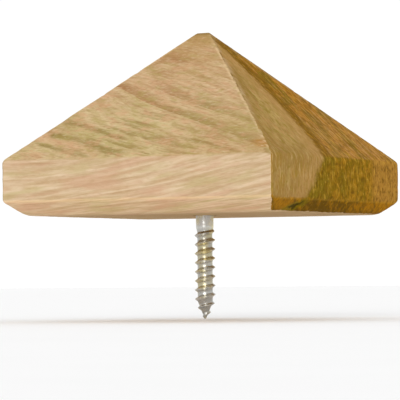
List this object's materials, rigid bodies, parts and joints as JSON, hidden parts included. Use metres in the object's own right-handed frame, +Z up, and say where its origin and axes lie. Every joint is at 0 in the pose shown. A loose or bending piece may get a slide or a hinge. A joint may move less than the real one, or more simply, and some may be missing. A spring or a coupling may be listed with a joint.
{
  "type": "fence post cap",
  "caption": "Square softwood pyramid cap with a bevelled lower edge, seated on a square timber fence post and held by a hidden double-ended screw.",
  "frame": {"origin": "centre of the seat, where the flat underside of the cap meets the top of the post, on the screw's axis", "axes": "+Z up through the ridge, X along the grain (the X faces show end grain), Y across the grain; -Y is the long-grain face seen broadly in front views. The block looks the same after half a turn about Z but not after a quarter turn, because the bevels at the X faces are steeper than those at the Y faces and the ridge runs along X"},
  "size_m": [0.114, 0.114, 0.111],
  "materials": {
    "treated_softwood": "bare machined pressure-treated softwood: pale tan long grain with olive streaks, darker ochre and green end grain",
    "zinc_plated_steel": "bright zinc plating with a faint yellow passivation"
  },
  "bodies": {
    "fixing": {"dowel_screw": "zinc_plated_steel"},
    "cap": {"cap_block": "treated_softwood"}
  },
  "joints": [
    {"name": "cap_lift", "type": "slide", "parent": "fixing", "child": "cap", "axis": [0, 0, 1], "range_m": [0, 0.04]}
  ]
}
